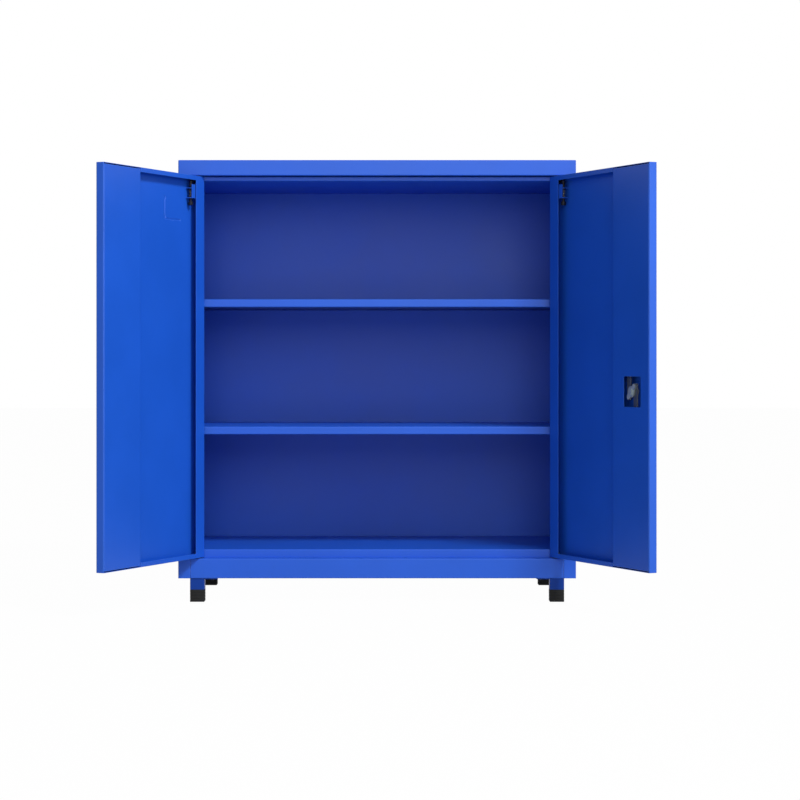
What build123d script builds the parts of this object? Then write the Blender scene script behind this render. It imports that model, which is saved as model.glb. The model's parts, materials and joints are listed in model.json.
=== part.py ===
from build123d import *
import math
import os

# Sheet-steel tool cabinet with two hinged doors, shown with both doors open.
# +X is to the right, -Y is the front, +Z is up.
# Every door piece is modelled closed and is then turned about its hinge pins.

# Overall sizes
body_width = 900
body_depth = 400
overall_height = 1000
sheet = 1.2
bend_radius = 2
seat_gap = 0.3

# Carcass
header_height = 35
plinth_height = 45
leg_height = 53.5
post_width = 28
post_depth = 30
lip_depth = 25
door_stop_setback = 21
ceiling_drop = 11
floor_rise = 19
rear_return = 20
rail_foot = 40

# Doors
door_thickness = 20
door_side_gap = 3
door_end_gap = 2
door_corner_radius = 3
door_lip = 10
hinge_strip = 38
channel_width = 145
channel_foot = 15
channel_hem = 5
channel_end_gap = 2.2
swing_gap = 0.8
pin_inset = 13
open_angle = 115.5

# Shelves and their slotted uprights
shelf_height = 18
shelf_lip = 12
shelf_setback = 35
shelf_side_gap = 2.8
lower_shelf_slot = 8
upper_shelf_slot = 18
slot_pitch = 29
slot_width = 3
slot_height = 14
first_slot_height = 154
upright_width = 25
upright_depth = 8
upright_head_room = 6
upright_inset = 45
tongue_reach = 3.6
clip_thickness = 2
clip_ledge = 11
clip_width = 14
clip_drop = 10

# Legs and feet
leg_size = 32.5
leg_wall = 1.5
leg_inset = 3
foot_height = 28
foot_plug = 15
foot_bevel = 1.5
leg_tuck = 1.5
plate_reach = 30
plate_sheet = 2

# Hinge pins
pin_radius = 4
running_fit = 0.05
snug_fit = 0.1
pin_hole_slack = 0.4
bush_radius = 6
bush_flange_radius = 8
bush_flange = 1
bush_length = 10
pin_travel = 12
pin_engagement = 10
pull_setback = 7.6
pull_radius = 3
pull_collar_radius = 5.5
pull_collar = 2
pull_drop = 12
ear_width = 14
ear_sheet = 1.5
ear_reach = 8
ear_upper_drop = 17
ear_spacing = 22
cover_rise = 9
rod_tail = 8
knob_radius = 5.5
knob_height = 8
spring_wire = 0.5
spring_radius = 4.3
spring_turns = 5
lower_pin_head = 11
lower_collar = 0.7
lower_collar_radius = 7

# Lock of the right door
lock_inset = 75.5
lock_height = 480
window_inset = 66.5
window_width = 67
window_height = 65
window_corner = 3
rod_offset = 12.8
rod_radius = 4
rod_hole_slack = 0.6
rod_retract = 1
rod_end_width = 13.6
rod_end_sheet = 3
rod_end_length = 56
rocker_arm = 15
rocker_sheet = 3
rocker_setback = 2.5
rocker_screw_radius = 6.7
rocker_screw_head = 2
rocker_hub_radius = 12
rocker_tip_radius = 6
rocker_rest_angle = 45
link_pin_radius = 2.5
link_slack = 0.5
link_rise_slack = 0.7
spindle_size = 8
spindle_slack = 0.1
neck_radius = 7
escutcheon_radius = 20
escutcheon_sheet = 2.5
hub_radius = 16
hub_height = 15
handle_length = 70
handle_width = 14
handle_thickness = 9
cylinder_radius = 8
cylinder_length = 10
cylinder_proud = 0.8
keyway_width = 2
keyway_length = 7
keyway_depth = 5
guide_width = 22
guide_height = 14
guide_drop = 200

# Card holder pressed into the left door
card_inset = 75
card_width = 68
card_height = 46
card_drop = 56
rib_width = 4
rib_depth = 1
rib_slope = 45
notch_radius = 4
pip_radius = 5

# Fasteners
screw_radius = 3
screw_head_radius = 5.2
screw_head = 3.5
screw_length = 14
screw_hole_slack = 0.3
screw_row_inset = 80
nut_height = 5

# Levels worked out from the sizes above
half_width = body_width / 2
body_bottom = leg_height
plinth_top = body_bottom + plinth_height
header_bottom = overall_height - header_height
door_bottom = plinth_top + door_end_gap
door_top = header_bottom - door_end_gap
ceiling_bottom = header_bottom - ceiling_drop
floor_top = plinth_top + floor_rise

# Hinge line and door width, worked out from the opening between the posts
hinge_edge = half_width - post_width - door_side_gap
door_width = hinge_edge - door_side_gap / 2
pin_x = hinge_edge - pin_inset


def front_reach():
    """How far the open door's free corner stands in front of the cabinet's front face."""
    turn = math.radians(open_angle)
    along = door_width - pin_inset - door_corner_radius
    across = door_thickness / 2 - door_corner_radius
    corner_y = along * math.sin(turn) + across * abs(math.cos(turn))
    return corner_y + door_corner_radius - door_thickness / 2


front_y = (front_reach() - body_depth) / 2
rear_y = front_y + body_depth
back_y = rear_y - sheet
pin_y = front_y + door_thickness / 2
door_inner_y = front_y + door_thickness
lock_s = door_width - lock_inset
rocker_back_y = door_inner_y - rocker_sheet - rocker_setback
rod_end_y = rocker_back_y - rod_end_sheet - seat_gap
rod_travel = 2 * rocker_arm * math.sin(math.radians(rocker_rest_angle))
pull_inset = hinge_strip + pull_setback


def stop_end():
    """X where the stop strips end, just clear of the circle that the door's hinge corner sweeps."""
    corner = math.hypot(pin_inset, door_thickness / 2)
    behind = door_stop_setback - door_thickness / 2
    return pin_x - math.sqrt(corner**2 - behind**2) - swing_gap


swing_clear = stop_end()


def slab(low, high, mode=Mode.ADD):
    """A box between two corners, in the part that is being built."""
    size = Vector(*high) - Vector(*low)
    with Locations((Vector(*high) + Vector(*low)) / 2):
        Box(abs(size.X), abs(size.Y), abs(size.Z), mode=mode)


def stud(centre, radius, bottom, top, mode=Mode.ADD):
    """An upright cylinder between two heights."""
    with Locations((centre[0], centre[1], (bottom + top) / 2)):
        Cylinder(radius, top - bottom, mode=mode)


def peg(centre, radius, front, rear, mode=Mode.ADD):
    """A cylinder along Y between two depths, centred on (x, z)."""
    with Locations((centre[0], (front + rear) / 2, centre[1])):
        Cylinder(radius, rear - front, rotation=(90, 0, 0), mode=mode)


def fold(points, inside=Side.RIGHT):
    """The section of a folded sheet whose outer face follows the points, in the sketch being built."""
    with BuildLine() as section:
        Polyline(*points)
        offset(amount=sheet, side=inside, kind=Kind.INTERSECTION)
    make_face(section.edges())


def handed(side):
    """The inner side of a fold that runs clockwise on the right and is mirrored on the left."""
    return Side.RIGHT if side > 0 else Side.LEFT


def save(piece, name, turn=None):
    """Labels a finished piece and writes it, turned about a hinge line if one is given."""
    if turn is not None:
        piece.part = piece.part.rotate(*turn)
    piece.part.label = name
    export_step(piece.part, f"parts/{name}.step")


def swing(side):
    """The turn that opens a door: side is -1 for the left door and 1 for the right."""
    return Axis((side * pin_x, pin_y, 0), (0, 0, 1)), side * open_angle


# ---------------------------------------------------------------- carcass

def top_panel():
    """Hollow top tray: the header is its front face, and its bottom lips rest on the sides."""
    with BuildPart() as tray:
        slab((-half_width, front_y, header_bottom), (half_width, rear_y, overall_height))
        fillet(tray.edges(), bend_radius)
        slab(
            (-half_width + sheet, front_y + sheet, header_bottom + sheet),
            (half_width - sheet, rear_y - sheet, overall_height - sheet),
            Mode.SUBTRACT,
        )
        slab(
            (-half_width + lip_depth, front_y + post_depth, header_bottom),
            (half_width - lip_depth, rear_y - lip_depth, header_bottom + sheet),
            Mode.SUBTRACT,
        )
        for side in (-1, 1):
            bottom_hole((side * pin_x, pin_y), bush_radius + snug_fit)
            for y in screw_rows():
                bottom_hole((side * screw_x, y), screw_radius + screw_hole_slack)
        bottom_hole((rod_x(-1), pin_y), rod_radius + rod_hole_slack)
    save(tray, "top_panel")


def bottom_hole(centre, radius):
    """A round hole through the top tray's bottom lip."""
    stud(centre, radius, header_bottom, header_bottom + sheet, Mode.SUBTRACT)


def rod_x(end):
    """X of a lock rod in the closed right door: -1 is the upper rod, on the hinge side."""
    return hinge_edge - lock_s - end * rod_offset


def fold_corner(y, z):
    """Sorts edges that run along X by how near they are to a fold at (y, z)."""
    return lambda edge: math.hypot(edge.center().Y - y, edge.center().Z - z)


def ceiling_panel():
    """Inner ceiling whose front upstand is the upper stop strip of the doors."""
    front = front_y + door_stop_setback
    rear = back_y - sheet - seat_gap
    with BuildPart() as ceiling:
        with BuildSketch(Plane.YZ.offset(-swing_clear)):
            fold(
                [
                    (rear, header_bottom),
                    (rear, ceiling_bottom),
                    (front, ceiling_bottom),
                    (front, door_top),
                ],
            )
        extrude(amount=2 * swing_clear)
        fold_edge = ceiling.edges().filter_by(Axis.X).sort_by(fold_corner(front, ceiling_bottom))[0]
        fillet(fold_edge, bend_radius)
        slab(
            (-half_width + sheet + seat_gap, front_y + post_depth + seat_gap, ceiling_bottom),
            (half_width - sheet - seat_gap, rear, ceiling_bottom + sheet),
        )
    save(ceiling, "ceiling_panel")


def bottom_panel():
    """Cabinet floor: its front flange stands on the plinth and is the lower stop of the doors."""
    front = front_y + door_stop_setback
    rear = back_y - sheet - seat_gap
    with BuildPart() as floor:
        with BuildSketch(Plane.YZ.offset(-swing_clear)):
            fold(
                [
                    (front, plinth_top),
                    (front, floor_top),
                    (rear, floor_top),
                    (rear, plinth_top),
                ],
            )
        extrude(amount=2 * swing_clear)
        fold_edge = floor.edges().filter_by(Axis.X).sort_by(fold_corner(front, floor_top))[0]
        fillet(fold_edge, bend_radius)
        slab(
            (-half_width + sheet + seat_gap, front_y + post_depth + seat_gap, floor_top - sheet),
            (half_width - sheet - seat_gap, rear, floor_top),
        )
    save(floor, "bottom_panel")


def side_panel(side, name):
    """Side wall folded into the front post and the rear return, with a flange under the top tray."""
    outer = side * half_width
    inner = side * (half_width - post_width)
    with BuildPart() as wall:
        with BuildSketch(Plane.XY.offset(body_bottom)):
            fold(
                [
                    (inner, front_y + post_depth),
                    (inner, front_y),
                    (outer, front_y),
                    (outer, rear_y),
                    (outer - side * rear_return, rear_y),
                ],
                handed(-side),
            )
        extrude(amount=header_bottom - body_bottom)
        folds = wall.edges().filter_by(Axis.Z).group_by(Axis.Y)[0]
        fillet(folds.sort_by(Axis.X), bend_radius)
        slab(
            (outer - side * lip_depth, front_y + sheet, header_bottom - sheet),
            (outer - side * sheet, rear_y - sheet, header_bottom),
        )
        for y in screw_rows():
            stud(
                (side * screw_x, y),
                screw_radius + screw_hole_slack,
                header_bottom - sheet,
                header_bottom,
                Mode.SUBTRACT,
            )
    save(wall, name)


def back_panel():
    """Flat back sheet inside the rear returns."""
    with BuildPart() as back:
        slab(
            (-half_width + sheet + seat_gap, back_y - sheet, body_bottom),
            (half_width - sheet - seat_gap, back_y, header_bottom - sheet - seat_gap),
        )
    save(back, "back_panel")


def front_plinth():
    """Channel between the two posts, with a top lip for the floor and the lower hinge bushes."""
    reach = half_width - post_width - seat_gap
    with BuildPart() as plinth:
        with BuildSketch(Plane.YZ.offset(-reach)):
            fold(
                [
                    (front_y + rail_foot, body_bottom),
                    (front_y, body_bottom),
                    (front_y, plinth_top),
                    (front_y + post_depth, plinth_top),
                ],
            )
        extrude(amount=2 * reach)
        folds = plinth.edges().filter_by(Axis.X).group_by(Axis.Y)[0]
        fillet(folds, bend_radius)
        for side in (-1, 1):
            stud(
                (side * pin_x, pin_y),
                bush_radius + snug_fit,
                plinth_top - sheet,
                plinth_top,
                Mode.SUBTRACT,
            )
            leg_screw_hole(side, leg_screw_y(-1))
        stud(
            (rod_x(1), pin_y),
            rod_radius + rod_hole_slack,
            plinth_top - sheet,
            plinth_top,
            Mode.SUBTRACT,
        )
    save(plinth, "front_plinth")


def rear_rail():
    """Channel along the foot of the back sheet."""
    rear = back_y - sheet
    reach = half_width - sheet - seat_gap
    with BuildPart() as rail:
        with BuildSketch(Plane.YZ.offset(-reach)):
            fold(
                [
                    (rear - post_depth, plinth_top),
                    (rear, plinth_top),
                    (rear, body_bottom),
                    (rear - rail_foot, body_bottom),
                ],
            )
        extrude(amount=2 * reach)
        for side in (-1, 1):
            leg_screw_hole(side, leg_screw_y(1))
    save(rail, "rear_rail")


def leg_screw_hole(side, y):
    """The hole of one leg screw through a rail's bottom lip."""
    hole = screw_radius + screw_hole_slack
    stud((side * leg_screw_x, y), hole, body_bottom, body_bottom + sheet, Mode.SUBTRACT)


# ---------------------------------------------------------------- shelves

upright_face = half_width - sheet - upright_depth
upright_bottom = floor_top + seat_gap
upright_top = ceiling_bottom - upright_head_room
slot_count = 1 + math.floor((upright_top - slot_height - first_slot_height) / slot_pitch)


def slot_level(number):
    """Centre height of one slot in the uprights."""
    return first_slot_height + number * slot_pitch


def shelf_top(number):
    """Top of a shelf that hangs in the numbered slot."""
    return slot_level(number) + clip_drop


def upright(side, y, name):
    """Slotted channel on a side wall that takes the shelf clips."""
    wall = side * (half_width - sheet)
    face = side * upright_face
    with BuildPart() as strip:
        with BuildSketch(Plane.XY.offset(upright_bottom)):
            fold(
                [
                    (wall, y - upright_width / 2),
                    (face, y - upright_width / 2),
                    (face, y + upright_width / 2),
                    (wall, y + upright_width / 2),
                ],
                handed(side),
            )
        extrude(amount=upright_top - upright_bottom)
        middle = slot_level((slot_count - 1) / 2)
        with BuildSketch(Plane.YZ.offset(face - side * sheet)):
            with Locations((y, middle)):
                with GridLocations(slot_pitch, slot_pitch, 1, slot_count):
                    Rectangle(slot_width, slot_height)
        extrude(amount=side * tongue_reach, mode=Mode.SUBTRACT)
    save(strip, name)


def upright_rows():
    """Centre lines of the front and the rear uprights."""
    return {
        "front": front_y + upright_inset + upright_width / 2,
        "rear": rear_y - upright_inset - upright_width / 2,
    }


def shelf(number, name):
    """Shelf folded down on all four sides, with a return lip under each fold."""
    reach = upright_face - shelf_side_gap
    top = shelf_top(number)
    front = front_y + shelf_setback
    rear = back_y - sheet - seat_gap
    with BuildPart() as tray:
        slab((-reach, front, top - shelf_height), (reach, rear, top))
        fillet(tray.edges().filter_by(Axis.X).group_by(Axis.Y)[0], bend_radius)
        slab(
            (-reach + sheet, front + sheet, top - shelf_height + sheet),
            (reach - sheet, rear - sheet, top - sheet),
            Mode.SUBTRACT,
        )
        slab(
            (-reach + shelf_lip, front + shelf_lip, top - shelf_height),
            (reach - shelf_lip, rear - shelf_lip, top - shelf_height + sheet),
            Mode.SUBTRACT,
        )
    save(tray, name)


def shelf_clips(number, name):
    """Four clips of one shelf: a tongue in the slot, a plate on the upright and a ledge below."""
    under = shelf_top(number) - shelf_height
    level = slot_level(number)
    tongue_half = slot_width / 2 - seat_gap
    with BuildPart() as clips:
        for side in (-1, 1):
            face = side * upright_face
            plate = face - side * clip_thickness
            for y in upright_rows().values():
                half = clip_width / 2
                slab(
                    (face, y - half, under - clip_thickness),
                    (plate, y + half, level + slot_height / 2),
                )
                slab(
                    (plate, y - half, under - clip_thickness),
                    (plate - side * clip_ledge, y + half, under),
                )
                slab(
                    (face, y - tongue_half, level - slot_height / 2 + seat_gap),
                    (face + side * tongue_reach, y + tongue_half, level + slot_height / 4),
                )
    save(clips, name)


# ---------------------------------------------------------------- legs

leg_outer = half_width - post_width + leg_tuck
leg_middle = leg_outer - leg_size / 2
leg_screw_x = leg_outer - leg_size - plate_reach / 2


def leg_front(end):
    """Front face of a leg: end is -1 for the front legs and 1 for the rear ones."""
    return front_y + leg_inset if end < 0 else rear_y - leg_inset - leg_size


def leg_screw_y(end):
    """Row of the leg screws."""
    return leg_front(end) + leg_size / 2


def leg(side, end, name):
    """Square tube with a closed top."""
    front = leg_front(end)
    centre = side * leg_middle
    half = leg_size / 2
    with BuildPart() as tube:
        slab((centre - half, front, foot_height), (centre + half, front + leg_size, body_bottom))
        fillet(tube.edges().filter_by(Axis.Z), bend_radius)
        slab(
            (centre - half + leg_wall, front + leg_wall, foot_height),
            (centre + half - leg_wall, front + leg_size - leg_wall, body_bottom - leg_wall),
            Mode.SUBTRACT,
        )
    save(tube, name)


def leg_plate(side, end, name):
    """Flat plate beside a leg that is screwed to the rail above it."""
    front = leg_front(end)
    near = side * (leg_outer - leg_size)
    far = near - side * plate_reach
    with BuildPart() as plate:
        slab((near, front, body_bottom - plate_sheet), (far, front + leg_size, body_bottom))
        stud(
            (side * leg_screw_x, leg_screw_y(end)),
            screw_radius + screw_hole_slack,
            body_bottom - plate_sheet,
            body_bottom,
            Mode.SUBTRACT,
        )
    save(plate, name)


def foot(side, end, name):
    """Rubber block with a plug that pushes up into the leg."""
    front = leg_front(end)
    centre = side * leg_middle
    half = leg_size / 2
    inside = leg_wall + seat_gap
    with BuildPart() as block:
        slab((centre - half, front, 0), (centre + half, front + leg_size, foot_height))
        fillet(block.edges().filter_by(Axis.Z), bend_radius)
        chamfer(block.faces().sort_by(Axis.Z)[0].edges(), foot_bevel)
        slab(
            (centre - half + inside, front + inside, foot_height),
            (centre + half - inside, front + leg_size - inside, foot_height + foot_plug),
        )
    save(block, name)


def leg_screws():
    """Four screws with their heads under the leg plates."""
    seat = body_bottom - plate_sheet
    with BuildPart() as screws:
        for side in (-1, 1):
            for end in (-1, 1):
                place = (side * leg_screw_x, leg_screw_y(end))
                stud(place, screw_head_radius, seat - screw_head, seat)
                stud(place, screw_radius, seat, seat + screw_length)
    save(screws, "leg_screws")


def leg_nuts():
    """Four hexagon nuts on the rails' bottom lips."""
    seat = body_bottom + sheet
    with BuildPart() as nuts:
        with BuildSketch(Plane.XY.offset(seat)):
            for side in (-1, 1):
                for end in (-1, 1):
                    with Locations((side * leg_screw_x, leg_screw_y(end))):
                        RegularPolygon(screw_head_radius, 6)
                        Circle(screw_radius + running_fit, mode=Mode.SUBTRACT)
        extrude(amount=nut_height)
    save(nuts, "leg_nuts")


screw_x = half_width - lip_depth / 2


def screw_rows():
    """Rows of the screws that hold the top tray to the side walls."""
    return [front_y + screw_row_inset, (front_y + rear_y) / 2, rear_y - screw_row_inset]


def top_screws():
    """Six screws up through the side walls' top flanges into the top tray."""
    seat = header_bottom - sheet
    with BuildPart() as screws:
        for side in (-1, 1):
            for y in screw_rows():
                stud((side * screw_x, y), screw_head_radius, seat - screw_head, seat)
                stud((side * screw_x, y), screw_radius, seat, seat + screw_length)
    save(screws, "top_screws")


def bushes(name, level, up):
    """A pair of flanged hinge bushes in a lip: up is 1 under the header and -1 on the plinth."""
    with BuildPart() as pair:
        for side in (-1, 1):
            place = (side * pin_x, pin_y)
            flange = sorted((level, level - up * bush_flange))
            barrel = sorted((level, level + up * bush_length))
            stud(place, bush_flange_radius, *flange)
            stud(place, bush_radius, *barrel)
            ends = sorted((level - up * bush_flange, level + up * bush_length))
            stud(place, pin_radius + running_fit, *ends, Mode.SUBTRACT)
    save(pair, name)


# ---------------------------------------------------------------- doors

def across(side, near, far):
    """The two X values of a stretch of a closed door, measured from its hinge edge."""
    return sorted((side * (hinge_edge - near), side * (hinge_edge - far)))


def door_slab(side, near, far, depth, heights, mode=Mode.ADD):
    """A box in a closed door: stretches along the door, back from its front face, and in height."""
    low_x, high_x = across(side, near, far)
    slab(
        (low_x, front_y + depth[0], heights[0]),
        (high_x, front_y + depth[1], heights[1]),
        mode,
    )


def pull_levels():
    """Heights of the parts of an upper pin, from the door's top down."""
    arm = door_top - pull_drop
    upper_ear = arm - ear_upper_drop
    lower_ear = upper_ear - ear_spacing
    return arm, upper_ear, lower_ear


def door_skin(side, name):
    """Folded door tray: front face, edges, top and bottom lips and the hinge strip's open channel."""
    inner = (sheet, door_thickness - sheet)
    heights = (door_bottom + sheet, door_top - sheet)
    opening = (door_bottom + door_lip, door_top - door_lip)
    mouth = (door_thickness - sheet, door_thickness)
    channel_side = door_width - channel_width
    with BuildPart() as skin:
        door_slab(side, 0, door_width, (0, door_thickness), (door_bottom, door_top))
        fillet(skin.edges().filter_by(Axis.Z), door_corner_radius)
        door_slab(side, sheet, door_width - sheet, inner, heights, Mode.SUBTRACT)
        door_slab(side, hinge_strip, channel_side, mouth, opening, Mode.SUBTRACT)
        door_slab(side, channel_side, door_width - sheet, mouth, heights, Mode.SUBTRACT)
        place = (side * pin_x, pin_y)
        hole = pin_radius + pin_hole_slack
        stud(place, hole, door_top - sheet, door_top, Mode.SUBTRACT)
        stud(place, hole, door_bottom, door_bottom + sheet, Mode.SUBTRACT)
        if side > 0:
            lock_holes()
        else:
            card_ribs()
    save(skin, name, swing(side))


def lock_holes():
    """Holes of the right door for the lock's neck and its two rods."""
    hole = rod_radius + rod_hole_slack
    stud((rod_x(-1), pin_y), hole, door_top - sheet, door_top, Mode.SUBTRACT)
    stud((rod_x(1), pin_y), hole, door_bottom, door_bottom + sheet, Mode.SUBTRACT)
    centre = (hinge_edge - lock_s, lock_height)
    peg(centre, neck_radius + link_slack, front_y, front_y + sheet, Mode.SUBTRACT)


def card_ribs():
    """Pressed ribs of the card holder: sloped ridges outside and grooves inside the left door."""
    top = door_top - card_drop
    bottom = top - card_height
    near_x = card_inset - hinge_edge
    far_x = near_x + card_width
    for y, mode in ((front_y, Mode.ADD), (front_y + sheet, Mode.SUBTRACT)):
        with BuildSketch(Plane.XZ.offset(-y)) as outline:
            with Locations((far_x, (top + bottom) / 2)):
                Rectangle(rib_width, card_height)
            with Locations(((near_x + far_x) / 2, bottom)):
                Rectangle(card_width, rib_width)
                Circle(notch_radius)
            with Locations((far_x, top), (far_x, bottom + notch_radius)):
                Circle(pip_radius)
        extrude(outline.sketch, amount=rib_depth, taper=rib_slope, mode=mode)


def door_channel(side, name):
    """Stiffening channel along the door's free side; the right one has the lock window."""
    free = side * (hinge_edge - door_width + sheet + seat_gap)
    wall = side * (hinge_edge - door_width + channel_width)
    skin_y = front_y + sheet
    with BuildPart() as channel:
        with BuildSketch(Plane.XY.offset(door_bottom + sheet + channel_end_gap)):
            fold(
                [
                    (free, skin_y + channel_hem),
                    (free, door_inner_y),
                    (wall, door_inner_y),
                    (wall, skin_y),
                    (wall - side * channel_foot, skin_y),
                ],
                handed(side),
            )
        extrude(amount=door_top - door_bottom - 2 * sheet - 2 * channel_end_gap)
        fillet(channel.edges().filter_by(Axis.Z).group_by(Axis.Y)[-1], bend_radius)
        if side > 0:
            with BuildSketch(Plane.XZ.offset(-door_inner_y)):
                with Locations((hinge_edge - door_width + window_inset, lock_height)):
                    RectangleRounded(window_width, window_height, window_corner)
            extrude(amount=2 * sheet, both=True, mode=Mode.SUBTRACT)
    save(channel, name, swing(side))


def pin_bracket(side, name):
    """Bracket that stands on the door's face: two ears guide the pull rod behind a cover."""
    _, upper_ear, lower_ear = pull_levels()
    near = pull_inset - ear_width / 2
    far = pull_inset + ear_width / 2
    ears = (sheet, door_thickness / 2 + ear_reach)
    cover = (ears[1] - ear_sheet, ears[1])
    pull = (side * (hinge_edge - pull_inset), pin_y)
    with BuildPart() as bracket:
        door_slab(side, near, far, cover, (lower_ear, upper_ear + cover_rise))
        for level in (upper_ear, lower_ear):
            door_slab(side, near, far, ears, (level, level + ear_sheet))
            hole = pull_radius + running_fit
            stud(pull, hole, level, level + ear_sheet, Mode.SUBTRACT)
    save(bracket, name, swing(side))


def upper_pin(side, name):
    """Retractable hinge pin: the shank on the hinge line, an arm, and the pull rod with its knob."""
    arm, upper_ear, lower_ear = pull_levels()
    pull = (side * (hinge_edge - pull_inset), pin_y)
    hinge = (side * pin_x, pin_y)
    knob_top = lower_ear - rod_tail
    with BuildPart() as pin:
        stud(hinge, pin_radius, arm - pull_radius, header_bottom + pin_engagement)
        chamfer(pin.faces().sort_by(Axis.Z)[-1].edges(), pin_radius / 4)
        with Locations(((pull[0] + hinge[0]) / 2, pin_y, arm)):
            Cylinder(pull_radius, pull_inset - pin_inset, rotation=(0, 90, 0))
        stud(pull, pull_radius, knob_top, arm)
        with Locations((pull[0], pin_y, arm)):
            Sphere(pull_radius)
        collar_top = upper_ear - seat_gap
        stud(pull, pull_collar_radius, collar_top - pull_collar, collar_top)
        stud(pull, knob_radius, knob_top - knob_height, knob_top)
        fillet(pin.faces().sort_by(Axis.Z)[0].edges(), knob_radius / 4)
    save(pin, name, swing(side))


def pin_spring(side, name):
    """Compression spring between the lower ear and the collar of the pull rod."""
    _, upper_ear, lower_ear = pull_levels()
    bottom = lower_ear + ear_sheet + spring_wire
    top = upper_ear - seat_gap - pull_collar - spring_wire
    centre = (side * (hinge_edge - pull_inset), pin_y, bottom)
    with BuildPart() as spring:
        with BuildLine() as coil:
            Helix((top - bottom) / spring_turns, top - bottom, spring_radius, centre)
        with BuildSketch(Plane(origin=coil.line @ 0, z_dir=coil.line % 0)):
            Circle(spring_wire)
        sweep(is_frenet=True)
    save(spring, name, swing(side))


def lower_pin(side, name):
    """Fixed lower hinge pin with a collar under the door and a head inside it."""
    hinge = (side * pin_x, pin_y)
    with BuildPart() as pin:
        stud(hinge, pin_radius, plinth_top - bush_length + seat_gap, door_bottom + lower_pin_head)
        chamfer(pin.faces().sort_by(Axis.Z)[0].edges(), pin_radius / 4)
        stud(hinge, lower_collar_radius, door_bottom - lower_collar, door_bottom)
        head = door_bottom + sheet
        stud(hinge, lower_collar_radius, head, door_bottom + lower_pin_head)
    save(pin, name, swing(side))


# ---------------------------------------------------------------- lock

lock_x = hinge_edge - lock_s
neck_end_y = front_y + 2 * sheet
hub_back_y = front_y - escutcheon_sheet - seat_gap


def escutcheon():
    """Round plate on the outside of the right door."""
    with BuildPart() as plate:
        peg((lock_x, lock_height), escutcheon_radius, front_y - escutcheon_sheet, front_y)
        chamfer(plate.faces().sort_by(Axis.Y)[0].edges(), escutcheon_sheet / 3)
        peg(
            (lock_x, lock_height),
            neck_radius + running_fit,
            front_y - escutcheon_sheet,
            front_y,
            Mode.SUBTRACT,
        )
    save(plate, "handle_escutcheon", swing(1))


def door_handle():
    """T-handle with a hub, a neck through the door and a bore for the lock cylinder."""
    hub_front = hub_back_y - hub_height
    with BuildPart() as handle:
        with BuildSketch(Plane.XZ.offset(-hub_back_y)):
            with Locations((lock_x, lock_height)):
                SlotOverall(handle_length, handle_width)
        extrude(amount=handle_thickness)
        peg((lock_x, lock_height), hub_radius, hub_front, hub_back_y)
        fillet(handle.faces().sort_by(Axis.Y)[0].edges(), bend_radius)
        peg((lock_x, lock_height), neck_radius, hub_back_y, neck_end_y)
        peg(
            (lock_x, lock_height),
            cylinder_radius + running_fit,
            hub_front,
            hub_front + cylinder_length,
            Mode.SUBTRACT,
        )
        socket = spindle_size / 2 + spindle_slack
        front = hub_front + cylinder_length
        slab(
            (lock_x - socket, front, lock_height - socket),
            (lock_x + socket, neck_end_y, lock_height + socket),
            Mode.SUBTRACT,
        )
    save(handle, "door_handle", swing(1))


def lock_cylinder():
    """Key cylinder in the handle's hub, with a keyway."""
    front = hub_back_y - hub_height - cylinder_proud
    rear = hub_back_y - hub_height + cylinder_length - seat_gap
    with BuildPart() as cylinder:
        peg((lock_x, lock_height), cylinder_radius, front, rear)
        chamfer(cylinder.faces().sort_by(Axis.Y)[0].edges(), cylinder_proud / 2)
        slab(
            (lock_x - keyway_width / 2, front, lock_height - keyway_length / 2),
            (lock_x + keyway_width / 2, front + keyway_depth, lock_height + keyway_length / 2),
            Mode.SUBTRACT,
        )
    save(cylinder, "lock_cylinder", swing(1))


def handle_spindle():
    """Square bar from the handle's hub to the rocker, with a hole for the rocker screw."""
    half = spindle_size / 2
    front = hub_back_y - hub_height + cylinder_length + seat_gap
    rear = rocker_back_y + rocker_sheet - seat_gap
    with BuildPart() as bar:
        slab((lock_x - half, front, lock_height - half), (lock_x + half, rear, lock_height + half))
        depth = screw_length / 2 + 2 * seat_gap
        hole = link_pin_radius + snug_fit
        peg((lock_x, lock_height), hole, rear - depth, rear, Mode.SUBTRACT)
    save(bar, "handle_spindle", swing(1))


def link_points():
    """Centres (x, z) of the two link pins at rest: upper rod first, then lower rod."""
    turn = math.radians(rocker_rest_angle)
    reach = rocker_arm * math.cos(turn)
    drop = rocker_arm * math.sin(turn)
    return [
        (lock_x + reach, lock_height - drop),
        (lock_x - reach, lock_height + drop),
    ]


def lock_rocker():
    """Rocker plate on the spindle that drives the two rods in opposite directions."""
    upper, lower = link_points()
    with BuildPart() as rocker:
        with BuildSketch(Plane.XZ.offset(-rocker_back_y)):
            with Locations((lock_x, lock_height)):
                Circle(rocker_hub_radius)
            with BuildLine():
                Line(upper, lower)
            trace(line_width=2 * rocker_tip_radius)
            with Locations(upper, lower):
                Circle(rocker_tip_radius)
            with Locations((lock_x, lock_height)):
                Rectangle(
                    spindle_size + 2 * spindle_slack,
                    spindle_size + 2 * spindle_slack,
                    mode=Mode.SUBTRACT,
                )
            with Locations(upper, lower):
                Circle(link_pin_radius + snug_fit, mode=Mode.SUBTRACT)
        extrude(amount=-rocker_sheet)
    save(rocker, "lock_rocker", swing(1))


def rocker_pins():
    """Two link pins pressed into the rocker's tips."""
    with BuildPart() as pins:
        for place in link_points():
            peg(place, link_pin_radius, rod_end_y - seat_gap, rocker_back_y + rocker_sheet)
    save(pins, "rocker_link_pins", swing(1))


def rocker_screw():
    """Screw that holds the rocker on the spindle."""
    seat = rocker_back_y + rocker_sheet
    with BuildPart() as screw:
        peg((lock_x, lock_height), rocker_screw_radius, seat, seat + rocker_screw_head)
        peg((lock_x, lock_height), link_pin_radius, seat - screw_length / 2, seat)
    save(screw, "rocker_screw", swing(1))


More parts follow.
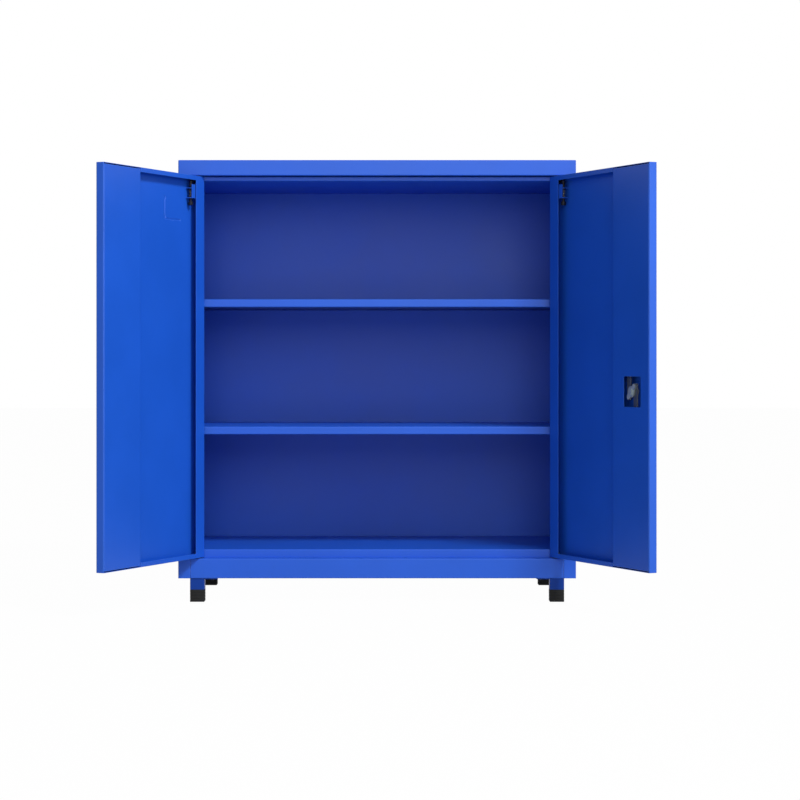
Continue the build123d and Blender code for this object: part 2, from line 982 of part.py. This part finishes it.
def lock_rod(end, name):
    """Round rod with a flattened, slotted end: end is -1 for the upper rod and 1 for the lower."""
    link_x, link_z = link_points()[0] if end < 0 else link_points()[1]
    up = -end
    x = rod_x(end)
    outer = door_top - rod_retract if end < 0 else door_bottom + rod_retract
    joint = link_z + up * rod_end_length
    nearest = abs(link_x - lock_x)
    slot_near = nearest - link_pin_radius - link_slack
    slot_far = rocker_arm + link_pin_radius + link_slack
    slot_half = link_pin_radius + link_rise_slack
    inboard = -end
    tail = rod_end_width / 2
    with BuildPart() as rod:
        low, high = sorted((link_z - up * tail, joint))
        slab(
            (x - rod_end_width / 2, rod_end_y, low),
            (x + rod_end_width / 2, rod_end_y + rod_end_sheet, high),
        )
        fillet(rod.edges().filter_by(Axis.Y), bend_radius)
        ends = sorted((joint - up * rod_radius, outer))
        stud((x, pin_y), rod_radius, *ends)
        slab(
            (lock_x + inboard * slot_near, rod_end_y, link_z - slot_half),
            (lock_x + inboard * slot_far, rod_end_y + rod_end_sheet, link_z + slot_half),
            Mode.SUBTRACT,
        )
    save(rod, name, swing(1))


def rod_guide(end, name):
    """Guide block inside the channel that one lock rod slides through."""
    x = rod_x(end)
    middle = door_top - guide_drop if end < 0 else door_bottom + guide_drop
    half = guide_height / 2
    with BuildPart() as guide:
        slab(
            (x - guide_width / 2, front_y + sheet, middle - half),
            (x + guide_width / 2, door_inner_y - sheet - seat_gap, middle + half),
        )
        fillet(guide.edges().filter_by(Axis.Z), bend_radius)
        stud((x, pin_y), rod_radius + running_fit, middle - half, middle + half, Mode.SUBTRACT)
    save(guide, name, swing(1))


# ---------------------------------------------------------------- assembly

sides = {"left": -1, "right": 1}
ends = {"front": -1, "rear": 1}


def build_carcass():
    """Everything that stays still."""
    top_panel()
    ceiling_panel()
    bottom_panel()
    back_panel()
    front_plinth()
    rear_rail()
    bushes("upper_hinge_bushes", header_bottom, 1)
    bushes("lower_hinge_bushes", plinth_top, -1)
    top_screws()
    leg_screws()
    leg_nuts()
    for word, number in (("upper", upper_shelf_slot), ("lower", lower_shelf_slot)):
        shelf(number, f"{word}_shelf")
        shelf_clips(number, f"{word}_shelf_clips")
    for hand, side in sides.items():
        side_panel(side, f"{hand}_side_panel")
        for row, y in upright_rows().items():
            upright(side, y, f"{row}_{hand}_upright")
        for row, end in ends.items():
            leg(side, end, f"{row}_{hand}_leg")
            leg_plate(side, end, f"{row}_{hand}_leg_plate")
            foot(side, end, f"{row}_{hand}_foot")


def build_doors():
    """Both doors with their hinge pins."""
    for hand, side in sides.items():
        door_skin(side, f"{hand}_door_skin")
        door_channel(side, f"{hand}_door_channel")
        pin_bracket(side, f"{hand}_pin_bracket")
        upper_pin(side, f"{hand}_upper_pin")
        pin_spring(side, f"{hand}_pin_spring")
        lower_pin(side, f"{hand}_lower_pin")


def build_lock():
    """Handle, rocker and rods of the right door."""
    escutcheon()
    door_handle()
    lock_cylinder()
    handle_spindle()
    lock_rocker()
    rocker_pins()
    rocker_screw()
    for word, end in (("upper", -1), ("lower", 1)):
        lock_rod(end, f"{word}_lock_rod")
        rod_guide(end, f"{word}_rod_guide")


os.makedirs("parts", exist_ok=True)
build_carcass()
build_doors()
build_lock()
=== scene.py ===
"""Sheet-steel tool cabinet with open doors: finishes, rubber feet, lamps, floor and camera."""
import json
import math

import bmesh
import bpy
from mathutils import Matrix, Vector


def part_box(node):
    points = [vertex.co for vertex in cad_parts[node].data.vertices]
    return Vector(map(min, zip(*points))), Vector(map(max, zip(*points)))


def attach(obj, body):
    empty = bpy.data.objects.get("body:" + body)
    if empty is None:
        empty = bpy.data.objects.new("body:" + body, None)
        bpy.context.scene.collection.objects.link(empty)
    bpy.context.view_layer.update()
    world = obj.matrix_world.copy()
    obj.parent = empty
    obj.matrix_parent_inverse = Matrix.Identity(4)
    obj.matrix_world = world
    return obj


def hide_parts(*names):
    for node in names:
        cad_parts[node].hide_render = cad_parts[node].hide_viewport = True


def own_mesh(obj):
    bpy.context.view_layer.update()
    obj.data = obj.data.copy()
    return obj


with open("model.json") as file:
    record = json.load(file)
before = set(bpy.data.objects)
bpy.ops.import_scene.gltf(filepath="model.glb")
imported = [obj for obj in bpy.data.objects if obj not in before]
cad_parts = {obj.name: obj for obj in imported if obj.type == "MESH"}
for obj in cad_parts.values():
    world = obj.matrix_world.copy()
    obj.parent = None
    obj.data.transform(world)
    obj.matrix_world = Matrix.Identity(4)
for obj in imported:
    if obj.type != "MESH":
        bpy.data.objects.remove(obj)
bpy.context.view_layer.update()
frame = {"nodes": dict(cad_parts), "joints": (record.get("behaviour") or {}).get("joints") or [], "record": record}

bl_info = {
    "name": "Tool cabinet",
    "version": (1, 0, 0),
    "blender": (4, 5, 0),
    "location": "View3D > Sidebar > Cabinet",
    "description": "Dresses a steel tool cabinet and sets up its studio",
    "category": "Object",
}

SIDES = ("left", "right")
ROWS = ("front", "rear")

# Shader sockets that share a name and so are reached by number
MIX_FIRST_COLOUR, MIX_SECOND_COLOUR, MIX_COLOUR_OUT = 6, 7, 2

# Material details, with colours as linear red, green and blue
BEVEL_SAMPLES = 4
FOLD_RADIUS = 0.0012
SMALL_PART_RADIUS = 0.0005
DUST_BLUE = (0.30, 0.36, 0.55)
# Lighter blue of the folds: partly worn paint, partly a painted highlight along the folds.
WORN_AND_HIGHLIGHT_BLUE = (0.06, 0.19, 0.70)
RUBBER_DUST = (0.036, 0.036, 0.035)
RUBBED_ZINC = (0.72, 0.73, 0.76)
CHROME = (0.78, 0.78, 0.79)

# Modelling of the feet
SMOOTH_ANGLE = 35
BEVEL_ANGLE = 50
BEVEL_SEGMENTS = 2
GROOVE_FLANK = 0.12
LEVEL_TOLERANCE = 1e-6

# Studio, in metres
SKY_COLOUR = (0.95, 0.97, 1.0, 1)
WHITE = (1, 1, 1, 1)
FLOOR_SIZE = 40
FLOOR_COLOUR = (0.62, 0.63, 0.65, 1)
FLOOR_WHITE_SHARE = 0.985
LAMP_TARGET_HEIGHT = 0.5
LAMPS = {
    "key": ((2.9, -4.3, 5.0), 1.2),
    "fill": ((0.3, -4.7, 2.1), 2.2),
    "edge": ((3.6, -3.3, 1.4), 1.0),
}
PICTURE = 800
SENSOR_WIDTH = 36
VIEW_DEPTH = 100


# ---------------------------------------------------------------- frame helpers

def node_box(name):
    """Lowest and highest corner of a node at rest, as vectors."""
    low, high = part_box(name)
    return Vector(low), Vector(high)


def front_face():
    """Y of the cabinet's front face."""
    return node_box("front_plinth")[0].y


def cabinet_middle():
    """X of the middle of the cabinet."""
    low, high = node_box("top_panel")
    return (low.x + high.x) / 2


def slot_nodes(slot):
    """Names of the nodes that share one material slot of the record."""
    return [s["node"] for s in frame["record"]["subparts"] if s["material_slot"] == slot]


def joint_travel(name):
    """How far a sliding joint moves from rest, in metres."""
    return next(joint["range_m"][1] for joint in frame["joints"] if joint["name"] == name)


# ---------------------------------------------------------------- shader sums

class Value:
    """A socket of a material that can stand in Python sums."""

    def __init__(self, paint, socket):
        self.paint = paint
        self.socket = socket

    def maths(self, operation, first, second):
        """Adds one Math node."""
        return self.paint.node("ShaderNodeMath", {"operation": operation}, {0: first, 1: second})

    def __add__(self, other):
        return self.maths("ADD", self, other)

    __radd__ = __add__

    def __mul__(self, other):
        return self.maths("MULTIPLY", self, other)

    __rmul__ = __mul__

    def __sub__(self, other):
        return self.maths("SUBTRACT", self, other)

    def __rsub__(self, other):
        return self.maths("SUBTRACT", other, self)

    def ramp(self, low, high):
        """0 below low, 1 above high and smooth between them."""
        settings = {"interpolation_type": "SMOOTHSTEP", "clamp": True}
        inputs = {"Value": self, "From Min": low, "From Max": high, "To Min": 0.0, "To Max": 1.0}
        return self.paint.node("ShaderNodeMapRange", settings, inputs)


class Paint:
    """A material whose nodes are added by short calls."""

    def __init__(self, name):
        self.material = bpy.data.materials.new(name)
        self.material.use_nodes = True
        self.tree = self.material.node_tree
        self.shader = self.tree.nodes["Principled BSDF"]
        self.place = self.node("ShaderNodeTexCoord", output="Object")

    def node(self, kind, settings=None, inputs=None, output=0):
        """Adds a node, applies its settings, feeds its sockets and returns one output."""
        node = self.tree.nodes.new(kind)
        for key, value in (settings or {}).items():
            setattr(node, key, value)
        for key, value in (inputs or {}).items():
            self.feed(node.inputs[key], value)
        return Value(self, node.outputs[output])

    def feed(self, socket, value):
        """Links a value to a socket or sets the socket's own number."""
        if isinstance(value, Value):
            self.tree.links.new(value.socket, socket)
        else:
            socket.default_value = value

    def set(self, **sockets):
        """Feeds the main shader; an underscore in a name stands for a space."""
        for key, value in sockets.items():
            self.feed(self.shader.inputs[key.replace("_", " ")], value)

    def noise(self, scale, detail=3.0, roughness=0.55, stretch=None):
        """Noise from 0 to 1 over the object, with features of about 1 / scale metres."""
        place = self.place if stretch is None else self.stretched(stretch)
        inputs = {"Vector": place, "Scale": scale, "Detail": detail, "Roughness": roughness}
        return self.node("ShaderNodeTexNoise", None, inputs)

    def stretched(self, scale):
        """Object coordinates scaled along each axis."""
        settings = {"operation": "MULTIPLY"}
        return self.node("ShaderNodeVectorMath", settings, {0: self.place, 1: scale})

    def blend(self, factor, first, second):
        """A colour between two colours."""
        inputs = {"Factor": factor, MIX_FIRST_COLOUR: first, MIX_SECOND_COLOUR: second}
        return self.node("ShaderNodeMix", {"data_type": "RGBA"}, inputs, MIX_COLOUR_OUT)

    def rounded(self, radius):
        """The surface's normal with its edges rounded by a radius in metres."""
        return self.node("ShaderNodeBevel", {"samples": BEVEL_SAMPLES}, {"Radius": radius})

    def bump(self, height, distance, radius=FOLD_RADIUS):
        """A normal raised by a height from 0 to 1 times the distance, over rounded edges."""
        inputs = {"Height": height, "Distance": distance, "Normal": self.rounded(radius)}
        return self.node("ShaderNodeBump", None, inputs)

    def edges(self, radius):
        """1 on a fold or edge and 0 on a flat face, within a radius in metres."""
        settings = {"operation": "DOT_PRODUCT"}
        flat = self.node("ShaderNodeNewGeometry", output="True Normal")
        inputs = {0: self.rounded(radius), 1: flat}
        aligned = self.node("ShaderNodeVectorMath", settings, inputs, "Value")
        return (1 - aligned).ramp(0.01, 0.22)


def rgba(colour, factor=1.0):
    """A colour with alpha, made lighter or darker by a factor."""
    return (*(min(1.0, c * factor) for c in colour[:3]), 1.0)


# ---------------------------------------------------------------- sizes and colours

class CabinetFinish(bpy.types.PropertyGroup):
    """Colours and surfaces of the cabinet."""

    blue: bpy.props.FloatVectorProperty(
        name="Blue", description="Colour of the powder coat",
        subtype="COLOR", size=3, default=(0.009, 0.095, 0.57), min=0, max=1,
    )
    shine: bpy.props.FloatProperty(
        name="Shine", description="Strength of the powder coat's reflections",
        subtype="FACTOR", default=0.42, min=0, max=1,
    )
    gloss: bpy.props.FloatProperty(
        name="Roughness", description="Roughness of the powder coat",
        subtype="FACTOR", default=0.42, min=0, max=1,
    )
    peel: bpy.props.FloatProperty(
        name="Orange peel", description="Depth of the powder coat's texture",
        subtype="DISTANCE", unit="LENGTH", default=0.00003, min=0, max=0.001, precision=6,
    )
    # The legs' blue is the same powder coat, darkened as painted shade as if under the body.
    leg_painted_shade_blue: bpy.props.FloatVectorProperty(
        name="Leg blue", description="Colour of the legs' darker powder coat",
        subtype="COLOR", size=3, default=(0.004, 0.040, 0.27), min=0, max=1,
    )
    leg_shine: bpy.props.FloatProperty(
        name="Leg shine", description="Strength of the legs' reflections",
        subtype="FACTOR", default=0.16, min=0, max=1,
    )
    black: bpy.props.FloatVectorProperty(
        name="Black", description="Colour of the blackened steel",
        subtype="COLOR", size=3, default=(0.008, 0.010, 0.020), min=0, max=1,
    )
    zinc: bpy.props.FloatVectorProperty(
        name="Zinc", description="Colour of the plated steel",
        subtype="COLOR", size=3, default=(0.40, 0.47, 0.46), min=0, max=1,
    )
    rod: bpy.props.FloatVectorProperty(
        name="Rod", description="Colour of the dull lock rods and pin springs",
        subtype="COLOR", size=3, default=(0.085, 0.10, 0.125), min=0, max=1,
    )
    nylon: bpy.props.FloatVectorProperty(
        name="Nylon", description="Colour of the bushes and rod guides",
        subtype="COLOR", size=3, default=(0.030, 0.030, 0.032), min=0, max=1,
    )
    rubber: bpy.props.FloatVectorProperty(
        name="Rubber", description="Colour of the feet",
        subtype="COLOR", size=3, default=(0.013, 0.0135, 0.0135), min=0, max=1,
    )


class FootShape(bpy.types.PropertyGroup):
    """Sizes of the rubber feet."""

    rim: bpy.props.FloatProperty(
        name="Rim", description="Rounding of the foot's edges",
        subtype="DISTANCE", unit="LENGTH", default=0.001, min=0,
    )
    groove: bpy.props.FloatProperty(
        name="Groove", description="Depth of the grooves around the foot",
        subtype="DISTANCE", unit="LENGTH", default=0.0008, min=0,
    )
    grooves: bpy.props.IntProperty(
        name="Grooves", description="Number of grooves around the foot",
        default=3, min=0, max=8,
    )


class Studio(bpy.types.PropertyGroup):
    """Camera and lamps."""

    distance: bpy.props.FloatProperty(
        name="Distance", description="From the camera to the cabinet's front face",
        subtype="DISTANCE", unit="LENGTH", default=4.87, min=1,
    )
    aside: bpy.props.FloatProperty(
        name="Aside", description="How far the camera stands to the right of the middle",
        subtype="DISTANCE", unit="LENGTH", default=0.018,
    )
    eye_height: bpy.props.FloatProperty(
        name="Eye height", description="Height of the camera above the floor",
        subtype="DISTANCE", unit="LENGTH", default=0.5464, min=0,
    )
    scale: bpy.props.FloatProperty(
        name="Scale", description="Metres of the front face in one pixel of the photograph",
        subtype="DISTANCE", unit="LENGTH", default=0.002262, min=0.0001, precision=6,
    )
    centre_x: bpy.props.FloatProperty(
        name="Centre X", description="Picture column of the middle of the cabinet's front",
        default=377.1,
    )
    horizon_y: bpy.props.FloatProperty(
        name="Horizon Y", description="Picture row of the horizon", default=360.5,
    )
    key: bpy.props.FloatProperty(
        name="Key", description="Power of the lamp high at the right front",
        subtype="POWER", default=360, min=0,
    )
    fill: bpy.props.FloatProperty(
        name="Fill", description="Power of the wide lamp above the camera",
        subtype="POWER", default=45, min=0,
    )
    edge: bpy.props.FloatProperty(
        name="Edge", description="Power of the low lamp at the right",
        subtype="POWER", default=25, min=0,
    )
    sky: bpy.props.FloatProperty(
        name="Sky", description="Strength of the light from all around",
        subtype="FACTOR", default=0.20, min=0, max=2,
    )


# ---------------------------------------------------------------- materials

def powder_coat(name, blue, shine):
    """Semi-gloss powder coat with orange peel, mottling, handling marks, dust, and folds made lighter as worn
    paint and painted highlight.
    """
    finish = bpy.context.scene.cabinet_finish
    paint = Paint(name)
    peel = paint.noise(520, 2.0, 0.5)
    mottle = paint.noise(7, 3.0, 0.5).ramp(0.3, 0.7)
    marks = paint.noise(22, 6.0, 0.7, (1.0, 1.0, 0.35)).ramp(0.60, 0.78)
    dust = paint.noise(900, 1.0, 0.4).ramp(0.74, 0.80)
    # Folds and edges lighter: partly wear, partly a painted highlight where the folds catch the light.
    wear_and_highlight = paint.edges(0.0018) * (paint.noise(30, 4.0, 0.6) * 0.6 + 0.25)
    colour = paint.blend(mottle, rgba(blue, 0.965), rgba(blue, 1.035))
    colour = paint.blend(dust * 0.08, colour, rgba(DUST_BLUE))
    colour = paint.blend(wear_and_highlight, colour, rgba(WORN_AND_HIGHLIGHT_BLUE))
    paint.set(
        Base_Color=colour,
        Roughness=finish.gloss + mottle * 0.03 + marks * 0.06 - wear_and_highlight * 0.06,
        Specular_IOR_Level=shine,
        Normal=paint.bump(peel, finish.peel),
    )
    return paint.material


def black_coat():
    """Satin blackened steel of the pins and leg screws."""
    finish = bpy.context.scene.cabinet_finish
    paint = Paint("black_coat")
    grain = paint.noise(700, 2.0)
    paint.set(
        Base_Color=paint.blend(paint.noise(40), rgba(finish.black, 0.8), rgba(finish.black, 1.3)),
        Roughness=grain * 0.12 + 0.34,
        Specular_IOR_Level=0.15,
        Normal=paint.bump(grain, 0.00003, 0.0004),
    )
    return paint.material


def moulded_rubber():
    """Dull black rubber with a fine mould texture and dusty patches."""
    finish = bpy.context.scene.cabinet_finish
    paint = Paint("moulded_rubber")
    grain = paint.noise(1100, 2.0)
    dust = paint.noise(60, 5.0, 0.65).ramp(0.45, 0.75)
    paint.set(
        Base_Color=paint.blend(dust * 0.4, rgba(finish.rubber), rgba(RUBBER_DUST)),
        Roughness=0.82 + dust * 0.1 - grain * 0.08,
        Specular_IOR_Level=0.2,
        Normal=paint.bump(grain, 0.00005),
    )
    return paint.material


def zinc_plate(name, zinc):
    """Zinc plate with a faint spangle, drawn lines and rubbed edges."""
    paint = Paint(name)
    spangle = paint.noise(160, 2.0, 0.5)
    lines = paint.noise(60, 3.0, 0.6, (1.0, 1.0, 22.0))
    rubbed = paint.edges(0.0012) * (paint.noise(90, 3.0, 0.6) * 0.6 + 0.3)
    tint = paint.blend(spangle, rgba(zinc, 0.72), rgba(zinc, 1.2))
    paint.set(
        Base_Color=paint.blend(rubbed, tint, rgba(RUBBED_ZINC)),
        Metallic=0.65,
        Roughness=spangle * 0.14 + lines * 0.10 + 0.34 - rubbed * 0.12,
        Normal=paint.bump(lines, 0.00002, SMALL_PART_RADIUS),
    )
    return paint.material


def chrome_plate():
    """Polished chrome with fine wiping marks."""
    paint = Paint("chrome_plate")
    wiped = paint.noise(240, 4.0, 0.7, (1.0, 4.0, 1.0))
    paint.set(
        Base_Color=rgba(CHROME),
        Metallic=1.0,
        Roughness=wiped * 0.14 + 0.06,
        Normal=paint.bump(wiped, 0.000008),
    )
    return paint.material


def moulded_nylon():
    """Dark moulded nylon of the bushes and rod guides."""
    finish = bpy.context.scene.cabinet_finish
    paint = Paint("moulded_nylon")
    cloud = paint.noise(120, 3.0)
    paint.set(
        Base_Color=paint.blend(cloud, rgba(finish.nylon, 0.75), rgba(finish.nylon, 1.3)),
        Roughness=cloud * 0.15 + 0.40,
        Normal=paint.bump(paint.noise(900), 0.00003, SMALL_PART_RADIUS),
    )
    return paint.material


def coat(nodes, material):
    """Gives carried-over nodes one material."""
    for name in nodes:
        piece = frame["nodes"][name]
        piece.data.materials.clear()
        piece.data.materials.append(material)


# ---------------------------------------------------------------- modelling helpers

def start():
    """Deselects everything, so that the next operator acts only on what it adds."""
    if bpy.context.object and bpy.context.object.mode != "OBJECT":
        bpy.ops.object.mode_set(mode="OBJECT")
    bpy.ops.object.select_all(action="DESELECT")


def block(name, low, high):
    """Adds a box between two corners, with its place in its mesh."""
    start()
    middle = (Vector(low) + Vector(high)) / 2
    size = Vector(high) - Vector(low)
    bpy.ops.mesh.primitive_cube_add(size=1, location=middle, scale=size)
    bpy.ops.object.transform_apply(location=True, rotation=True, scale=True)
    piece = bpy.context.object
    piece.name = name
    piece.data.name = name
    return piece


def cut_level(height):
    """Cuts the piece in edit mode all round at a height, and keeps both parts."""
    bpy.ops.mesh.select_all(action="SELECT")
    bpy.ops.mesh.bisect(plane_co=(0, 0, height), plane_no=(0, 0, 1))


def pick_level(piece, height):
    """Selects the piece's level edges at a height, in edit mode."""
    bpy.ops.mesh.select_mode(type="EDGE")
    bpy.ops.mesh.select_all(action="DESELECT")
    shape = bmesh.from_edit_mesh(piece.data)
    for edge in shape.edges:
        if all(abs(vertex.co.z - height) < LEVEL_TOLERANCE for vertex in edge.verts):
            edge.select_set(True)
    bmesh.update_edit_mesh(piece.data)


def round_edges(piece, width):
    """Rounds a piece's sharp edges."""
    bevel = piece.modifiers.new("rounding", "BEVEL")
    bevel.width = width
    bevel.segments = BEVEL_SEGMENTS
    bevel.limit_method = "ANGLE"
    bevel.angle_limit = math.radians(BEVEL_ANGLE)
    bpy.ops.object.modifier_apply(modifier=bevel.name)


def moved_copy(piece, name, offset):
    """A copy with its own mesh, moved inside that mesh."""
    twin = piece.copy()
    twin.data = piece.data.copy()
    twin.name = name
    twin.data.name = name
    twin.data.transform(Matrix.Translation(offset))
    bpy.context.scene.collection.objects.link(twin)
    return twin


def finish_mesh(piece, material, body):
    """Smooths a new piece, gives it its material and puts it on its body."""
    start()
    piece.select_set(True)
    bpy.context.view_layer.objects.active = piece
    bpy.ops.object.shade_smooth_by_angle(angle=math.radians(SMOOTH_ANGLE))
    piece.data.materials.clear()
    piece.data.materials.append(material)
    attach(piece, body)


# ---------------------------------------------------------------- operators

class CABINET_OT_sheet_metal(bpy.types.Operator):
    """Coats the carcass, shelves, doors and legs"""

    bl_idname = "cabinet.sheet_metal"
    bl_label = "Coat sheet metal"

    def execute(self, context):
        finish = context.scene.cabinet_finish
        blue = slot_nodes("blue_paint")
        legs = [name for name in blue if name.endswith(("_leg", "_leg_plate"))]
        coat(blue, powder_coat("blue_powder_coat", finish.blue, finish.shine))
        # The legs get a darker copy of the blue coat with weaker reflections: painted shade, not a different
        # paint.
        coat(legs, powder_coat("leg_powder_coat", finish.leg_painted_shade_blue, finish.leg_shine))
        return {"FINISHED"}


class CABINET_OT_hardware(bpy.types.Operator):
    """Plates the lock, the hinge pins and the fasteners"""

    bl_idname = "cabinet.hardware"
    bl_label = "Plate hardware"

    def execute(self, context):
        finish = context.scene.cabinet_finish
        finishes = {
            "zinc_steel": zinc_plate("zinc_plate", finish.zinc),
            "chromed_zinc": chrome_plate(),
            "nylon": moulded_nylon(),
            "black_steel": black_coat(),
        }
        for slot, material in finishes.items():
            coat(slot_nodes(slot), material)
        dull = ("upper_lock_rod", "lower_lock_rod", "left_pin_spring", "right_pin_spring")
        coat(dull, zinc_plate("dull_zinc", finish.rod))
        for side in SIDES:
            self.press_spring(f"{side}_pin_spring", f"{side}_pin_pull")
        return {"FINISHED"}

    def press_spring(self, node, joint):
        """Works out how much of a spring its pin's travel would keep and gives the spring its own mesh; the spring
        is not shortened.
        """
        low, high = node_box(node)
        keep = 1 - joint_travel(joint) / (high.z - low.z)
        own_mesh(frame["nodes"][node])


class CABINET_OT_feet(bpy.types.Operator):
    """Models the rubber feet with rounded edges and grooves"""

    bl_idname = "cabinet.feet"
    bl_label = "Model feet"

    def execute(self, context):
        first = "front_left_foot"
        model = self.foot(first, context.scene.foot_shape)
        home = node_box(first)[0]
        rubber = moulded_rubber()
        for row in ROWS:
            for side in SIDES:
                node = f"{row}_{side}_foot"
                piece = model
                if node != first:
                    piece = moved_copy(model, f"{node}_rubber", node_box(node)[0] - home)
                finish_mesh(piece, rubber, "cabinet")
                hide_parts(node)
        return {"FINISHED"}

    def foot(self, node, shape):
        """One foot below its leg; the plug inside the leg can't be seen and is left out."""
        low, high = node_box(node)
        top = node_box(node.replace("foot", "leg"))[0].z
        piece = block(f"{node}_rubber", low, (high.x, high.y, top))
        pitch = (top - low.z) / (shape.grooves + 1)
        inward = 1 - 2 * shape.groove / (high.x - low.x)
        bpy.ops.object.mode_set(mode="EDIT")
        for number in range(1, shape.grooves + 1):
            level = low.z + number * pitch
            for flank in (-GROOVE_FLANK, 0, GROOVE_FLANK):
                cut_level(level + flank * pitch)
            pick_level(piece, level)
            middle = ((low.x + high.x) / 2, (low.y + high.y) / 2, level)
            bpy.ops.transform.resize(value=(inward, inward, 1), center_override=middle)
        bpy.ops.object.mode_set(mode="OBJECT")
        round_edges(piece, shape.rim)
        return piece


def seen_rays(tree):
    """A socket that is 1 for rays from the camera, from gloss and through glass."""
    path = tree.nodes.new("ShaderNodeLightPath")
    total = path.outputs["Is Camera Ray"]
    for kind in ("Is Glossy Ray", "Is Transmission Ray"):
        larger = tree.nodes.new("ShaderNodeMath")
        larger.operation = "MAXIMUM"
        tree.links.new(total, larger.inputs[0])
        tree.links.new(path.outputs[kind], larger.inputs[1])
        total = larger.outputs[0]
    return total


def mix_shaders(tree, share, first, second, target):
    """Feeds a socket with a mix of two shaders."""
    mix = tree.nodes.new("ShaderNodeMixShader")
    tree.links.new(share, mix.inputs[0])
    tree.links.new(first.outputs[0], mix.inputs[1])
    tree.links.new(second.outputs[0], mix.inputs[2])
    tree.links.new(mix.outputs[0], target)


class CABINET_OT_studio(bpy.types.Operator):
    """Adds the floor, the lamps and the camera"""

    bl_idname = "cabinet.studio"
    bl_label = "Set up studio"

    def execute(self, context):
        studio = context.scene.cabinet_studio
        self.world(context.scene, studio)
        self.floor()
        for name in LAMPS:
            self.lamp(name, getattr(studio, name))
        self.camera(context.scene, studio)
        context.scene.view_settings.view_transform = "Standard"
        return {"FINISHED"}

    def world(self, scene, studio):
        """White to the camera and in reflections, plain soft light on the object."""
        scene.world = bpy.data.worlds.new("studio_world")
        scene.world.use_nodes = True
        tree = scene.world.node_tree
        tree.nodes.clear()
        out = tree.nodes.new("ShaderNodeOutputWorld")
        soft = self.glow(tree, "ShaderNodeBackground", SKY_COLOUR, studio.sky)
        white = self.glow(tree, "ShaderNodeBackground", WHITE, 1)
        mix_shaders(tree, seen_rays(tree), soft, white, out.inputs["Surface"])

    def glow(self, tree, kind, colour, strength):
        """A background or emission node."""
        node = tree.nodes.new(kind)
        node.inputs["Color"].default_value = colour
        node.inputs["Strength"].default_value = strength
        return node

    def floor(self):
        """White floor that keeps a faint shadow."""
        start()
        bpy.ops.mesh.primitive_plane_add(size=FLOOR_SIZE, location=(0, 0, 0))
        plane = bpy.context.object
        plane.name = "studio_floor"
        material = bpy.data.materials.new("studio_white")
        material.use_nodes = True
        tree = material.node_tree
        shader = tree.nodes["Principled BSDF"]
        shader.inputs["Base Color"].default_value = FLOOR_COLOUR
        shader.inputs["Roughness"].default_value = 1.0
        shader.inputs["Specular IOR Level"].default_value = 0.0
        glow = self.glow(tree, "ShaderNodeEmission", WHITE, 1)
        share = tree.nodes.new("ShaderNodeMath")
        share.operation = "MULTIPLY"
        share.inputs[1].default_value = FLOOR_WHITE_SHARE
        tree.links.new(seen_rays(tree), share.inputs[0])
        surface = tree.nodes["Material Output"].inputs["Surface"]
        mix_shaders(tree, share.outputs[0], shader, glow, surface)
        plane.data.materials.append(material)

    def lamp(self, name, power):
        """One square area lamp that faces the cabinet's front."""
        place, size = LAMPS[name]
        target = Vector((0, front_face(), LAMP_TARGET_HEIGHT))
        data = bpy.data.lights.new(f"{name}_lamp", "AREA")
        data.energy = power
        data.size = size
        lamp = bpy.data.objects.new(f"{name}_lamp", data)
        bpy.context.scene.collection.objects.link(lamp)
        lamp.location = place
        lamp.rotation_euler = (target - Vector(place)).to_track_quat("-Z", "Y").to_euler()

    def camera(self, scene, studio):
        """Level camera in front of the cabinet, with the photograph's framing."""
        data = bpy.data.cameras.new("camera")
        data.sensor_width = SENSOR_WIDTH
        data.lens = studio.distance / studio.scale / PICTURE * data.sensor_width
        data.shift_x = (PICTURE / 2 - studio.centre_x - studio.aside / studio.scale) / PICTURE
        data.shift_y = (studio.horizon_y - PICTURE / 2) / PICTURE
        data.clip_end = VIEW_DEPTH
        camera = bpy.data.objects.new("camera", data)
        scene.collection.objects.link(camera)
        place = cabinet_middle() + studio.aside
        camera.location = (place, front_face() - studio.distance, studio.eye_height)
        camera.rotation_euler = (math.pi / 2, 0, 0)
        scene.camera = camera


# ---------------------------------------------------------------- add-on

class CABINET_PT_panel(bpy.types.Panel):
    """Lists the cabinet's sizes, colours and steps"""

    bl_idname = "CABINET_PT_panel"
    bl_label = "Tool cabinet"
    bl_space_type = "VIEW_3D"
    bl_region_type = "UI"
    bl_category = "Cabinet"

    def draw(self, context):
        for group in GROUPS:
            settings = getattr(context.scene, group)
            for name in settings.__annotations__:
                self.layout.prop(settings, name)
        for step in STEPS:
            self.layout.operator(step.bl_idname)


GROUPS = {
    "cabinet_finish": CabinetFinish,
    "foot_shape": FootShape,
    "cabinet_studio": Studio,
}
STEPS = (
    CABINET_OT_sheet_metal,
    CABINET_OT_hardware,
    CABINET_OT_feet,
    CABINET_OT_studio,
)
CLASSES = (*GROUPS.values(), *STEPS, CABINET_PT_panel)


def register():
    """Registers the classes and puts the settings on the scene."""
    for item in CLASSES:
        bpy.utils.register_class(item)
    for name, group in GROUPS.items():
        setattr(bpy.types.Scene, name, bpy.props.PointerProperty(type=group))


def unregister():
    """Takes the settings and the classes away again."""
    for name in GROUPS:
        delattr(bpy.types.Scene, name)
    for item in reversed(CLASSES):
        bpy.utils.unregister_class(item)


def main():
    """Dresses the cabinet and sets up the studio."""
    register()
    for step in STEPS:
        family, name = step.bl_idname.split(".")
        getattr(getattr(bpy.ops, family), name)()


if __name__ == "__main__":
    main()
